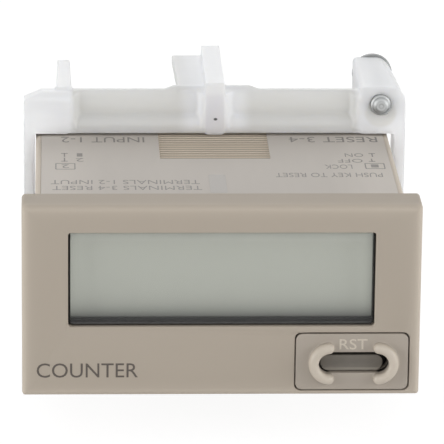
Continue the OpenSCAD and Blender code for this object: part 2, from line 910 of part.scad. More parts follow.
// An end block, rolled over at its front top edge, with its outer top corner cut off.
// The right one ends under the boss.
module end_block(side) {
    cut_w = 2.3;
    cut_h = 0.95;
    foot_cut = 0.6;
    roll_r = 1.2;
    inner = bracket_x - block_w;
    outer = side > 0 ? clamp_x : bracket_x;
    intersection() {
        along_y(bracket_back, web_rear)
            polygon([[side * inner, opening_z + foot_cut], [side * inner, bar_top],
                [side * (outer - cut_w), bar_top], [side * outer, bar_top - cut_h],
                [side * outer, opening_z], [side * (inner + foot_cut), opening_z]]);
        along_x(-bracket_x, bracket_x) {
            translate([bracket_back, 0]) square([web_rear - bracket_back, bar_top - roll_r]);
            translate([bracket_back + roll_r, 0]) square([web_rear - bracket_back - roll_r, bar_top]);
            translate([bracket_back + roll_r, bar_top - roll_r]) circle(roll_r);
        }
    }
}

// The lip along the bar, with a rounded front
module bar_lip() {
    full_share = 0.3;
    front = bracket_back + lip_sink;
    along_x(-bracket_x + bracket_wall / 2, bracket_x - bracket_wall / 2)
        intersection() {
            translate([front, opening_z]) square([bracket_rear - front, lip_h]);
            union() {
                translate([front + lip_h, opening_z + full_share * lip_h]) circle(lip_h);
                translate([front + lip_h, opening_z]) square([bracket_rear - front, lip_h]);
            }
        }
}

// The bar's web, rounded back towards its top, and raised where the tongue is rooted
module bar_web() {
    hump_rise = 0.45;
    hump_l = thumb_w + fin_w / 2 + 1.4;
    hump_r = fin_w / 2 + 4.4;
    slope = 1.2;
    intersection() {
        union() {
            box([-bracket_x + block_w / 2, web_y, opening_z + lip_h / 2],
                [bracket_x - block_w / 2, web_rear, bar_top]);
            along_y(web_y, web_rear)
                polygon([[-hump_l, opening_z + lip_h], [-hump_l, bar_top],
                    [-hump_l + slope, bar_top + hump_rise], [hump_r - slope, bar_top + hump_rise],
                    [hump_r, bar_top], [hump_r, opening_z + lip_h]]);
        }
        along_x(-bracket_x, bracket_x)
            translate([web_y + web_roll_r, opening_z + lip_h]) circle(web_roll_r, $fn = 96);
    }
}

// A hollow fillet from the upright face at x to the web, with way 1 or -1 for its side
module web_fillet(x, way) {
    top_slope = 0.8;
    foot_z = opening_z + 0.6;
    x0 = min(x, x + way * fillet_r);
    difference() {
        along_x(x0, x0 + fillet_r)
            polygon([[bracket_back, foot_z], [bracket_back, bar_top - top_slope],
                [web_y + web_lean, bar_top], [web_rear, bar_top], [web_rear, foot_z]]);
        translate([x + way * fillet_r, web_y - fillet_r, opening_z + lip_h])
            rotate([-atan(web_lean / (bar_h - lip_h)), 0, 0])
                translate([0, 0, -bar_h]) cylinder(h = 3 * bar_h, r = fillet_r);
    }
}

// The tongue with its ratchet teeth, its fin and the plate that a thumb lifts
module tongue() {
    teeth = 3;
    tooth_h = ratchet_depth - crest_drop;
    foot_w = fin_w - 0.5;
    foot_l = 1.5;
    under = opening_z;
    foot_y = tongue_rear - (teeth + 0.3) * ratchet_pitch;
    tip_z = case_h / 2 + bracket_gap_z / 2;
    along_x(-tongue_w / 2, tongue_w / 2)
        polygon(concat(
            [[bracket_rear - over, under], [foot_y, under]],
            [for (i = [0 : teeth - 1], end = [0, 1])
                [foot_y + (i + end) * ratchet_pitch, end == 0 ? tip_z + tooth_h : tip_z]],
            [[foot_y + teeth * ratchet_pitch, tip_z + tooth_h],
                [tongue_rear, tip_z + tooth_h], [tongue_rear, under + tongue_t],
                [bracket_rear - over, under + tongue_t]]));
    along_x(-fin_w / 2, fin_w / 2)
        polygon([[bracket_back, opening_z], [bracket_back, fin_top], [tongue_rear, fin_top],
            [tongue_rear, under + tongue_t / 2], [bracket_rear, under + tongue_t / 2],
            [bracket_rear, opening_z]]);
    box([-foot_w / 2, bracket_back, tip_z], [foot_w / 2, bracket_back + foot_l, opening_z + over]);
    thumb_plate();
}

module thumb_plate() {
    flare = 0.4;
    half = fin_w / 2;
    along_z(bar_top - thumb_t, bar_top)
        polygon([[-half - thumb_w + flare, web_rear - over], [0, web_rear - over], [0, tongue_rear],
            [-half - thumb_w, tongue_rear]]);
}

// A rib that narrows to the rear, on the side away from the boss
module bar_rib() {
    taper = 0.2;
    rise = 0.4;
    x1 = -bracket_x + block_w;
    along_z(opening_z, bar_top + rise)
        polygon([[x1 - rib_w, web_rear - over], [x1, web_rear - over], [x1 - taper, boss_rear],
            [x1 - rib_w + taper, boss_rear]]);
}

module bracket_half() {
    difference() {
        union() {
            bar_lip();
            bar_web();
            for (side = [-1, 1]) {
                end_block(side);
                web_fillet(side * fin_w / 2, side);
                web_fillet(side * (bracket_x - block_w), -side);
            }
            screw_boss();
            bar_rib();
            tongue();
        }
        along_y(bracket_back - over, boss_rear + over)
            translate([clamp_x, clamp_z]) circle(d = clamp_d + 2 * clamp_gap);
    }
}

module mounting_bracket() {
    side_z = opening_z + lip_h / 2;
    color("#eceae6")
    translate([bracket_side, 0, 0])
        union() {
            bracket_half();
            rotate([0, 180, 0]) bracket_half();
            for (side = [-1, 1])
                side_box(side, [opening_x, bracket_back, -side_z], [bracket_x, bracket_rear, side_z]);
        }
}

module clamp_screw() {
    head_h = 1.7;
    panhead_screw(clamp_x, clamp_tip_y, clamp_z, boss_l + clamp_out, clamp_d, clamp_head_d, head_h);
}

module clamp_screw_upper() {
    color("#a9aaac")
    translate([bracket_side, 0, 0]) clamp_screw();
}

module clamp_screw_lower() {
    color("#a9aaac")
    translate([bracket_side, 0, 0]) rotate([0, 180, 0]) clamp_screw();
}

case();
display_window();
front_polariser();
front_glass();
rear_glass();
reflector_film();
display_holder();
contact_strip();
display_board();
counter_chip();
timing_crystal();
board_link_pins();
reset_pad();
reset_button();
reset_switch();
main_board();
input_components();
battery_cell();
battery_tab_positive();
battery_tab_negative();
key_switch_body();
key_switch_slider();
range_switch_body();
range_switch_slider();
terminal_block();
terminal_contacts();
terminal_washers();
terminal_screws();
rating_label();
mounting_bracket();
clamp_screw_upper();
clamp_screw_lower();
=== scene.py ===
"""Looks, camera and light of a panel counter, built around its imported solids.

Sizes and places are in millimetres, in the part's own frame: X to the right seen from the
front, Y to the rear, Z up, from the middle of the panel cut-out. They become metres where a
piece is made.
"""

import math

import bmesh
import bpy
from mathutils import Matrix, Vector


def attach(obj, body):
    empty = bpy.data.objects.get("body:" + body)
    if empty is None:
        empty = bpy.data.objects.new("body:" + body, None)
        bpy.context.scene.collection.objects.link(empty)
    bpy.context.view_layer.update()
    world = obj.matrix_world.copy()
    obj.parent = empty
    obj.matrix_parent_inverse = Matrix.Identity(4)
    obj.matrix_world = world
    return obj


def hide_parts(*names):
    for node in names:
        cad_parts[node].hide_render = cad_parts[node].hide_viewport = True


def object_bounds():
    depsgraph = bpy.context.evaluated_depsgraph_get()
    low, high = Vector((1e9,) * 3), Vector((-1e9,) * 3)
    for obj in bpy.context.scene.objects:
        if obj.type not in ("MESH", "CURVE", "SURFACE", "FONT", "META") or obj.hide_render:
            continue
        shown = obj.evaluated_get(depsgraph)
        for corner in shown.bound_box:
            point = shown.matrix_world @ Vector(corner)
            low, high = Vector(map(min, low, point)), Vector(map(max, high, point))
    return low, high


MM = 0.001

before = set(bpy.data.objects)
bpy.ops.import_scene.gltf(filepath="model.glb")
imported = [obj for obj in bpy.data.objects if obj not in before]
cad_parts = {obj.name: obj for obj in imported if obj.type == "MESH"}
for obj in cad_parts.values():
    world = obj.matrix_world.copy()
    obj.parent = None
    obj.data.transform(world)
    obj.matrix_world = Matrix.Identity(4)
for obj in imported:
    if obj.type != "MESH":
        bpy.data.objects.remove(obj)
cad_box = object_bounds()

# Places on the part that its finishes, lettering and screws are fitted to
BEZEL_FACE_Y = -5.2
BEZEL_HALF_W = 24.0
BEZEL_HALF_H = 12.0
LABEL_TOP_Z = 11.0
LABEL_HALF_W = 21.7
RIDGES_START_Y = 18.4
RIDGES_HALF_W = 6.9
CREST_Z = 10.95
SLOT_LOW_Z = -8.5
SLOT_MIDDLE_X = 15.97
WINDOW_LEFT_X = -18.45
WINDOW_RIGHT_X = 18.45
WINDOW_BOTTOM_Z = -3.2
BRACKET_MIDDLE_X = 0.3
CLAMP_AXIS = (21.05, 15.15)
CLAMP_TIP_Y = 27.6
CLAMP_SHANK = 15.8
GATE_MARK = (0.37, 13.28)
GATE_MARK_DEPTH_Y = 29.0
TERMINAL_AXES_X = (-15.225, -5.075, 5.075, 15.225)
TERMINAL_AXIS_Z = 0.6
TERMINAL_TIP_Y = 36.1
TERMINAL_SHANK = 8.0


# Selecting, editing and finishing pieces


def only(*pieces):
    """Selects these pieces and nothing else, and makes the first one active."""
    bpy.ops.object.select_all(action="DESELECT")
    for piece in pieces:
        piece.select_set(True)
    bpy.context.view_layer.objects.active = pieces[0]


def edit(piece):
    """Opens a piece for editing with all of it selected."""
    only(piece)
    bpy.ops.object.mode_set(mode="EDIT")
    bpy.ops.mesh.select_all(action="SELECT")


def close_edit():
    """Leaves editing."""
    bpy.ops.object.mode_set(mode="OBJECT")


def select_faces(piece, wanted):
    """In edit mode, selects only the faces that a test on the face accepts."""
    mesh = bmesh.from_edit_mesh(piece.data)
    bpy.ops.mesh.select_all(action="DESELECT")
    for face in mesh.faces:
        if wanted(face):
            face.select_set(True)
    bmesh.update_edit_mesh(piece.data)


def apply_all(piece):
    """Applies a piece's modifiers in their order."""
    only(piece)
    for modifier in list(piece.modifiers):
        bpy.ops.object.modifier_apply(modifier=modifier.name)


def settle(piece):
    """Puts a piece's place, turn and scale into its mesh."""
    only(piece)
    bpy.ops.object.transform_apply(location=True, rotation=True, scale=True)


def join(name, pieces):
    """Joins pieces into one mesh and names it."""
    only(*pieces)
    bpy.ops.object.join()
    piece = bpy.context.view_layer.objects.active
    piece.name = name
    piece.data.name = name
    return piece


def copy_of_node(node, name):
    """A welded copy of a CAD node's mesh, with its flat triangles paired."""
    weld = 0.0005 * MM
    flat = math.radians(0.5)
    piece = bpy.data.objects.new(name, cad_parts[node].data.copy())
    bpy.context.scene.collection.objects.link(piece)
    only(piece)
    bpy.ops.mesh.customdata_custom_splitnormals_clear()
    edit(piece)
    bpy.ops.mesh.remove_doubles(threshold=weld)
    bpy.ops.mesh.tris_convert_to_quads(face_threshold=flat, shape_threshold=math.pi)
    close_edit()
    return piece


def soften(piece, width):
    """Rounds a piece's sharp edges as a mould or a press leaves them."""
    sharp = math.radians(32)
    bevel = piece.modifiers.new("soft_edges", "BEVEL")
    bevel.width = width * MM
    bevel.segments = 2
    bevel.limit_method = "ANGLE"
    bevel.angle_limit = sharp
    bevel.use_clamp_overlap = False
    bevel.miter_outer = "MITER_ARC"
    apply_all(piece)
    smooth(piece)


def smooth(piece):
    """Shades a piece smooth, apart from its sharp edges."""
    sharp = math.radians(35)
    only(piece)
    bpy.ops.object.shade_smooth_by_angle(angle=sharp)


def fit(piece, finish, body, stands_for=()):
    """Gives a piece its finish, its body and the CAD nodes that it stands for."""
    piece.data.materials.clear()
    piece.data.materials.append(finish)
    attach(piece, body)
    if stands_for:
        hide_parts(*stands_for)


def dress(node, finish):
    """Gives a CAD node that keeps its own shape its finish."""
    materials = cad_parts[node].data.materials
    materials.clear()
    materials.append(finish)


# Finishes


def tint(red, green, blue):
    """A colour written as it looks on a screen, 0 to 255, as the shader's linear values."""
    def linear(level):
        share = level / 255
        return share / 12.92 if share <= 0.04045 else ((share + 0.055) / 1.055) ** 2.4
    return (linear(red), linear(green), linear(blue), 1.0)


def dimmed(colour, share):
    """A colour at this share of its light, or lifted where the share is above 1."""
    return tuple(min(1.0, level * share) for level in colour[:3]) + (1.0,)


class Amount:
    """A number that varies over a surface. Sums and products of it add Math nodes."""

    def __init__(self, finish, socket):
        self.finish = finish
        self.socket = socket

    def maths(self, operation, first, second=0.0):
        return self.finish.add("Math", {"operation": operation}, {0: first, 1: second})

    def __add__(self, other):
        return self.maths("ADD", self, other)

    def __radd__(self, other):
        return self.maths("ADD", other, self)

    def __sub__(self, other):
        return self.maths("SUBTRACT", self, other)

    def __rsub__(self, other):
        return self.maths("SUBTRACT", other, self)

    def __mul__(self, other):
        return self.maths("MULTIPLY", self, other)

    def __rmul__(self, other):
        return self.maths("MULTIPLY", other, self)

    def __truediv__(self, other):
        return self.maths("DIVIDE", self, other)

    def __neg__(self):
        return self.maths("MULTIPLY", self, -1.0)

    def exp(self):
        return self.maths("EXPONENT", self)

    def sine(self):
        return self.maths("SINE", self)

    def cosine(self):
        return self.maths("COSINE", self)

    def root(self):
        return self.maths("SQRT", self)

    def high(self, other):
        return self.maths("MAXIMUM", self, other)

    def low(self, other):
        return self.maths("MINIMUM", self, other)

    def size(self):
        return self.maths("ABSOLUTE", self)

    def step(self, start, end):
        """0 below start, 1 above end, and smooth between."""
        settings = {"interpolation_type": "SMOOTHSTEP"}
        return self.finish.add("MapRange", settings, {0: self, 1: start, 2: end, 3: 0.0, 4: 1.0})

    def output(self, name):
        """Another output of the node that gives this value."""
        return Amount(self.finish, self.socket.node.outputs[name])


class Finish:
    """A material that is written node by node."""

    def __init__(self, name, tree=None):
        if tree is None:
            self.material = bpy.data.materials.new(name)
            self.material.use_nodes = True
            tree = self.material.node_tree
        self.tree = tree
        self.tree.nodes.clear()

    def add(self, kind, settings=None, sockets=None, out=0):
        """Adds a node: its type, its settings, then the values or links of its sockets."""
        node = self.tree.nodes.new("ShaderNode" + kind)
        for name, value in (settings or {}).items():
            setattr(node, name, value)
        for name, value in (sockets or {}).items():
            if isinstance(value, Amount):
                self.tree.links.new(value.socket, node.inputs[name])
            else:
                node.inputs[name].default_value = value
        return Amount(self, node.outputs[out]) if node.outputs else None

    def place(self):
        """A point on the piece, in the part's own frame."""
        return self.add("TexCoord", out="Object")

    def axes(self):
        """X, Y and Z of a point on the piece, in millimetres."""
        parts = self.add("SeparateXYZ", None, {0: self.place()})
        return [parts.output(axis) * (1 / MM) for axis in range(3)]

    def stretched(self, scale):
        """The place, scaled along each axis to draw a pattern out."""
        return self.add("Mapping", None, {"Vector": self.place(), "Scale": scale})

    def noise(self, size, detail, vector=None):
        """Soft noise whose spots are about this many millimetres across."""
        sockets = {"Vector": vector or self.place(), "Scale": 1 / (size * MM), "Detail": detail}
        return self.add("TexNoise", None, sockets)

    def cells(self, size):
        """How far a point is from the middle of its cell, with cells this many millimetres wide."""
        sockets = {"Vector": self.place(), "Scale": 1 / (size * MM)}
        return self.add("TexVoronoi", {"feature": "F1"}, sockets)

    def blend(self, share, first, second):
        """A colour between two colours."""
        factor, colour_a, colour_b, result = 0, 6, 7, 2
        sockets = {factor: share, colour_a: first, colour_b: second}
        return self.add("Mix", {"data_type": "RGBA"}, sockets, out=result)

    def relief(self, height, depth, strength=1.0, below=None):
        """Bump of this depth in millimetres."""
        sockets = {"Height": height, "Distance": depth * MM, "Strength": strength}
        if below:
            sockets["Normal"] = below
        return self.add("Bump", None, sockets)

    def surface(self, shader):
        """Closes the material with this shader."""
        self.add("OutputMaterial", None, {"Surface": shader})
        return self.material

    def principled(self, colour, roughness, normal, settings=None, **constants):
        """A Principled shader. Its other sockets are given by name, such as coat_weight."""
        sockets = {"Base Color": colour, "Roughness": roughness}
        if normal:
            sockets["Normal"] = normal
        for name, value in constants.items():
            sockets[name.replace("_", " ").title().replace("Ior", "IOR")] = value
        return self.add("BsdfPrincipled", settings, sockets)

    def solid(self, colour, roughness, normal=None, **constants):
        """Closes the material with a Principled shader."""
        return self.surface(self.principled(colour, roughness, normal, **constants))


# Painted shade deep in the reset key's slot, where its walls keep the light out.
SLOT_SHADE = tint(26, 20, 14)


def moulded(name, colour, grain, depth, mottle, rough):
    """Injection-moulded plastic: eroded grain, slow colour drift and duller patches."""
    finish = Finish(name)
    drift = finish.noise(3.5, 3.0)
    pits = finish.noise(grain, 1.0)
    body = finish.blend(drift, dimmed(colour, 1 - mottle), dimmed(colour, 1 + mottle))
    shade = finish.blend(pits, dimmed(colour, 1 - 2 * mottle), dimmed(colour, 1 + 2 * mottle))
    skin = finish.blend(0.35, body, shade)
    dull = rough + (pits - 0.5) * 0.16 + (drift - 0.5) * 0.1
    return finish.solid(skin, dull, finish.relief(pits, depth))


def case_plastic():
    """Case plastic: fine eroded grain, with painted highlights on the bezel's front edges, the
    tube's edges and the ridges' crests."""
    highlight_width, highlight_depth, tube_edge_z = 0.42, 0.7, 10.4
    finish = Finish("case_plastic")
    x, y, z = finish.axes()
    drift = finish.noise(3.5, 3.0)
    pits = finish.noise(0.1, 1.0)
    plain, pale = tint(184, 173, 159), tint(236, 224, 208)
    skin = finish.blend(pits, dimmed(plain, 0.96), dimmed(plain, 1.04))
    skin = finish.blend(drift, dimmed(plain, 0.98), skin)
    # Painted highlight along the bezel's front edges, weaker on its top face.
    inset = (BEZEL_HALF_W - x.size()).low(BEZEL_HALF_H - z.size()).high(0.0)
    top = (z - BEZEL_HALF_H).step(-0.8, 0.0) * (BEZEL_HALF_W - x.size()).step(0.2, 1.0)
    painted_highlight = (-(inset / highlight_width)).exp() * (-((y - BEZEL_FACE_Y) / highlight_depth)).low(0.0).exp()
    painted_highlight = painted_highlight * (0.9 - 0.5 * top)
    # Painted highlight along the tube's edges behind the bezel.
    tube_edge = x.size().step(LABEL_HALF_W - 0.5, LABEL_HALF_W)
    tube_edge = tube_edge * z.size().step(tube_edge_z - 0.6, tube_edge_z)
    face = finish.blend(painted_highlight.high(tube_edge * y.step(0.0, 0.5) * 0.55), skin, pale)
    ridged = (y - RIDGES_START_Y).step(0.0, 0.05) * (RIDGES_HALF_W - x.size()).step(0.0, 0.02)
    # Painted highlight on the ridges' crests.
    crest = z.size().step(CREST_Z - 0.22, CREST_Z)
    ridges = finish.blend(crest, dimmed(plain, 0.98), dimmed(plain, 1.6))
    colour = finish.blend(ridged, face, ridges)
    dull = 0.62 + (pits - 0.5) * 0.16 + (drift - 0.5) * 0.1
    return finish.solid(colour, dull, finish.relief(pits, 0.006), specular_ior_level=0.22)


def pad_plastic():
    """The insert's plastic, smoother where the guards stand up and painted paler there as a
    painted highlight, with painted shade deep in its slot."""
    finish = Finish("pad_plastic")
    x, y, z = finish.axes()
    drift = finish.noise(3.0, 3.0)
    pits = finish.noise(0.1, 1.0)
    # Painted highlight on the guards, which stand proud of the face; they are also smoother there.
    painted_highlight = (BEZEL_FACE_Y - y).step(0.1, 0.75)
    plain, pale = tint(176, 166, 154), tint(208, 197, 182)
    skin = finish.blend(pits, dimmed(plain, 0.94), dimmed(plain, 1.05))
    face = finish.blend(painted_highlight, skin, finish.blend(drift, dimmed(pale, 0.97), pale))
    ends = (x - SLOT_MIDDLE_X).size().step(2.6, 3.2)
    deep = (y - BEZEL_FACE_Y).step(0.05, 0.5) * z.step(SLOT_LOW_Z, SLOT_LOW_Z + 0.5).high(ends)
    # Painted shade deep in the slot and at its ends.
    colour = finish.blend(deep, face, SLOT_SHADE)
    dull = 0.55 + (pits - 0.5) * 0.16 - painted_highlight * 0.14
    return finish.solid(colour, dull, finish.relief(pits * (1 - painted_highlight * 0.7), 0.006))


def key_plastic():
    """The key's plastic: mottled, a painted highlight along its lower edge, painted shade in the
    slot round its foot.
    """
    finish = Finish("key_plastic")
    _, y, z = finish.axes()
    drift = finish.noise(1.2, 3.0)
    pits = finish.noise(0.14, 1.0)
    plain, pale = tint(120, 114, 105), tint(160, 152, 139)
    skin = finish.blend(drift, dimmed(plain, 0.84), dimmed(plain, 1.16))
    # Painted highlight along the key's lower edge.
    painted_highlight = z.step(SLOT_LOW_Z - 0.1, SLOT_LOW_Z - 0.22) * 0.5
    face = finish.blend(painted_highlight, skin, pale)
    # Painted shade on the key's foot, deep in the slot.
    colour = finish.blend((y - BEZEL_FACE_Y).step(0.7, 1.2), face, SLOT_SHADE)
    dull = 0.5 + (pits - 0.5) * 0.16 + (drift - 0.5) * 0.1
    return finish.solid(colour, dull, finish.relief(pits, 0.006))


def block_plastic():
    return moulded("block_plastic", tint(46, 47, 50), 0.1, 0.006, 0.08, 0.45)


def dark_plastic():
    return moulded("dark_plastic", tint(42, 42, 44), 0.08, 0.004, 0.1, 0.4)


def white_plastic():
    return moulded("white_plastic", tint(222, 219, 211), 0.12, 0.004, 0.02, 0.4)


def component_body():
    """Small parts on the board: brown bodies with bright soldered ends."""
    solder_y = 35.7
    finish = Finish("component_body")
    along = finish.axes()[1]
    grain = finish.noise(0.08, 2.0)
    ends = (along - solder_y).step(0.0, 0.1)
    colour = finish.blend(ends, tint(112, 88, 66), tint(176, 172, 164))
    return finish.solid(colour, 0.35 + grain * 0.2, finish.relief(grain, 0.004))


def bracket_plastic():
    """Milky bracket plastic: faint flow lines, a gate mark, painted shade on the webs, lips and fin
    front and round the screw bores, and light that creeps under its skin, furthest in the side
    walls."""
    web_start, web_end, web_low, walls_start, walls_end = 2.6, 18.6, 11.0, 17.0, 18.4
    fin_half, fin_top, bore_drop, bore_front = 1.3, 17.0, 1.1, CLAMP_TIP_Y + 1.5
    block_reach, wall_reach = 3.0, 8.0
    finish = Finish("bracket_plastic")
    x, y, z = finish.axes()
    flow = finish.noise(1.1, 3.0, finish.stretched((0.25, 1.0, 1.0)))
    skin = finish.noise(0.16, 1.0)
    milky = tint(243, 244, 246)
    gate_x, gate_z = x - GATE_MARK[0], z - GATE_MARK[1]
    gate = (gate_x * gate_x + gate_z * gate_z * 2).step(0.09, 0.02)
    gate = gate * (GATE_MARK_DEPTH_Y - y).step(0.0, 0.1)
    from_fin = (x - BRACKET_MIDDLE_X).size()
    # Painted shade on the webs and lips between the end blocks and the fin.
    web_shade = from_fin.step(web_start, web_start + 2.4) * from_fin.step(web_end, web_end - 1.0)
    web_shade = web_shade * z.size().step(web_low, web_low + 1.2)
    plain = finish.blend(flow, dimmed(milky, 0.975), dimmed(milky, 1.02))
    plain = finish.blend(web_shade, plain, finish.blend(flow, tint(217, 217, 215), tint(223, 223, 221)))
    # Painted shade down the fin's front.
    fin = from_fin.step(fin_half, fin_half - 0.25) * z.size().step(fin_top, fin_top - 1.0)
    plain = finish.blend(fin, plain, tint(233, 233, 237))
    # Painted shade on the boss round and below each screw bore.
    bore_x, bore_z = from_fin - CLAMP_AXIS[0], z.size() - CLAMP_AXIS[1] + bore_drop
    bore = (bore_x * bore_x * 0.26 + bore_z * bore_z * 0.31).step(1.3, 0.7)
    bore = bore * ((x - BRACKET_MIDDLE_X) * z).step(0.0, 1.0) * (bore_front - y).step(0.0, 0.2)
    plain = finish.blend(bore * 0.5, plain, tint(222, 220, 212))
    colour = finish.blend(gate, plain, tint(92, 92, 92))
    dull = 0.36 + (flow - 0.5) * 0.18
    normal = finish.relief(skin, 0.002, 0.6, finish.relief(flow, 0.012))
    block = finish.principled(colour, dull, normal, subsurface_weight=1.0,
                              subsurface_scale=block_reach * MM, subsurface_radius=(1.0, 0.97, 0.9))
    wall = finish.principled(colour, dull, normal, {"subsurface_method": "BURLEY"},
                             subsurface_weight=1.0, subsurface_scale=wall_reach * MM,
                             subsurface_radius=(1.0, 1.0, 1.0))
    walls = from_fin.step(walls_start, walls_end) * (z.size().step(15.0, 11.5) * 0.94 + 0.06)
    return finish.surface(finish.add("MixShader", None, {0: walls, 1: block, 2: wall}))


def label_film():
    """Satin film of the label: fine tooth and slow streaks, a little lighter towards its sides."""
    sides_start, sides_end = 13.0, 20.0
    finish = Finish("label_film")
    streak = finish.noise(1.6, 3.0, finish.stretched((1.0, 0.12, 1.0)))
    tooth = finish.noise(0.09, 1.0)
    film = tint(202, 195, 187)
    sides = finish.axes()[0].size().step(sides_start, sides_end)
    plain = finish.blend(streak, dimmed(film, 0.97), dimmed(film, 1.03))
    light = finish.blend(streak, dimmed(film, 1.08), dimmed(film, 1.14))
    colour = finish.blend(sides, plain, light)
    dull = 0.6 + (tooth - 0.5) * 0.2
    return finish.solid(colour, dull, finish.relief(tooth, 0.003), specular_ior_level=0.2)


def ink(name, colour):
    """Printed ink, thinner in places so that what is under it greys it."""
    finish = Finish(name)
    cover = finish.noise(0.12, 2.0)
    return finish.solid(finish.blend(cover, dimmed(colour, 0.85), dimmed(colour, 1.25)),
                        0.5 + cover * 0.15)


def display_film():
    """The display's grey-green face: fine grain, paler towards its ends, painted shade along its
    rim and most of all below."""
    low_fade, side_fade, end_fade = 1.1, 0.45, 1.6
    finish = Finish("display_film")
    x, _, z = finish.axes()
    # Painted shade along the display's rim, most of all below.
    below = (-((z - WINDOW_BOTTOM_Z - 0.35) / low_fade)).low(0.0).exp()
    right = ((x - WINDOW_RIGHT_X) / side_fade).low(0.0).exp()
    left = ((WINDOW_LEFT_X - x) / side_fade).low(0.0).exp()
    ends = ((x.size() - WINDOW_RIGHT_X) / end_fade).low(0.0).exp()
    light = (0.62 + 0.4 * ends) * (1 - 0.82 * below) * (1 - 0.26 * right) * (1 - 0.12 * left)
    grain = finish.noise(0.07, 1.0)
    clear = tint(236, 237, 226)
    face = finish.blend(grain, dimmed(clear, 0.95), dimmed(clear, 1.05))
    colour = finish.blend(light, tint(30, 30, 33), face)
    return finish.solid(colour, 0.55 + (grain - 0.5) * 0.2, finish.relief(grain, 0.002))


def see_through(name, colour, gloss_roughness, smudge, rim=None):
    """Clear sheet: straight-through light, and gloss that grows as the sheet turns away.
    A rim is given as a test on X and Z, and is a dark sheet of painted shade."""
    facing_gloss, turned_gloss = 0.022, 0.9
    finish = Finish(name)
    marks = finish.noise(2.5, 3.0)
    body = finish.add("BsdfTransparent", None, {"Color": colour})
    if rim:
        x, _, z = finish.axes()
        rim_mottle = finish.noise(0.3, 2.0)
        shade = finish.blend(rim_mottle, tint(64, 63, 62), tint(80, 79, 78))
        dark = finish.add("BsdfDiffuse", None, {"Color": shade})
        body = finish.add("MixShader", None, {0: rim(x, z), 1: body, 2: dark})
    dull = gloss_roughness + marks * smudge
    gloss = finish.add("BsdfGlossy", None, {"Color": (1.0, 1.0, 1.0, 1.0), "Roughness": dull})
    turned = finish.add("LayerWeight", None, {"Blend": 0.5}, out="Facing")
    squared = turned * turned
    sheen = squared * squared * turned * turned_gloss + facing_gloss
    return finish.surface(finish.add("MixShader", None, {0: sheen, 1: body, 2: gloss}))


def window_clear():
    """The window's clear plastic, with a dark rim of painted shade left, right and below, and a
    painted highlight line in that rim below.
    """
    def rim(x, z):
        # A dark sheet of painted shade along the rim, with a painted highlight line in it below.
        left = x.step(WINDOW_LEFT_X + 0.3, WINDOW_LEFT_X + 0.22)
        right = x.step(WINDOW_RIGHT_X - 0.27, WINDOW_RIGHT_X - 0.19)
        low = z.step(WINDOW_BOTTOM_Z + 0.66, WINDOW_BOTTOM_Z + 0.34)
        glint = (z - WINDOW_BOTTOM_Z - 0.36).size().step(0.03, 0.09)
        return left.high(right).high(low) * (0.72 + 0.28 * glint)
    return see_through("window_clear", (0.985, 0.99, 0.985, 1.0), 0.03, 0.08, rim)


def display_glass():
    return see_through("display_glass", (0.93, 0.95, 0.93, 1.0), 0.02, 0.04)


def contact_rubber():
    """Elastomer strip: fine conducting layers side by side."""
    layers = 18.0
    finish = Finish("contact_rubber")
    x = finish.axes()[0]
    layer = (x * layers).sine().step(-0.2, 0.2)
    grain = finish.noise(0.1, 2.0)
    colour = finish.blend(layer, tint(38, 36, 35), tint(84, 80, 76))
    return finish.solid(colour, 0.6 + grain * 0.2, finish.relief(grain, 0.006))


def circuit_board():
    """Lacquered laminate: tracks under the green lacquer, weave and tinned spots."""
    across, along, spot_spacing = 5.2, 4.1, 2.4
    finish = Finish("circuit_board")
    x, y, z = finish.axes()
    tracks = (x * across).sine() * ((y + z) * along).cosine()
    lines = tracks.step(0.35, 0.5)
    weave = finish.noise(0.3, 2.0)
    spots = finish.cells(spot_spacing).step(0.14, 0.12)
    lacquer = finish.blend(lines, tint(38, 84, 48), tint(66, 122, 66))
    colour = finish.blend(spots, lacquer, tint(186, 184, 176))
    dull = 0.28 + weave * 0.12
    normal = finish.relief(lines + spots, 0.03, 0.7, finish.relief(weave, 0.006))
    return finish.solid(colour, dull, normal, coat_weight=0.2)


def brushed(name, colour, rough):
    """Metal with fine drawn lines and small dull spots."""
    finish = Finish(name)
    lines = finish.noise(0.25, 3.0, finish.stretched((1.0, 8.0, 1.0)))
    spots = finish.noise(0.7, 3.0)
    shade = finish.blend(spots, dimmed(colour, 0.86), dimmed(colour, 1.08))
    dull = rough + (lines - 0.5) * 0.16 + (spots - 0.5) * 0.12
    return finish.solid(shade, dull, finish.relief(lines, 0.004), metallic=1.0)


def plated_steel():
    return brushed("plated_steel", tint(214, 211, 204), 0.3)


def contact_brass():
    return brushed("contact_brass", tint(208, 188, 130), 0.32)


def pin_brass():
    return brushed("pin_brass", tint(206, 182, 112), 0.3)


def clamp_steel():
    """Zinc-plated screw steel, dull, with turning marks round the axis and a painted dark
    reflection on its head.
    """
    turning, head_y = 17.0, CLAMP_TIP_Y + CLAMP_SHANK
    finish = Finish("clamp_steel")
    x, y, z = finish.axes()
    out_x = (x - BRACKET_MIDDLE_X).size() - CLAMP_AXIS[0]
    out_z = z.size() - CLAMP_AXIS[1]
    radius = (out_x * out_x + out_z * out_z).root()
    rings = (radius * turning).sine() * 0.5 + 0.5
    spots = finish.noise(0.5, 3.0)
    zinc = tint(192, 194, 194)
    bright = finish.blend(spots * 0.5 + rings * 0.5, dimmed(zinc, 0.62), dimmed(zinc, 1.05))
    # Painted dark reflection on the head.
    head = y.step(head_y - 0.3, head_y)
    colour = finish.blend(head, bright, finish.blend(spots, dimmed(zinc, 0.36), dimmed(zinc, 0.62)))
    dull = 0.58 + (spots - 0.5) * 0.2
    return finish.solid(colour, dull, finish.relief(rings + spots * 0.4, 0.02), metallic=1.0)


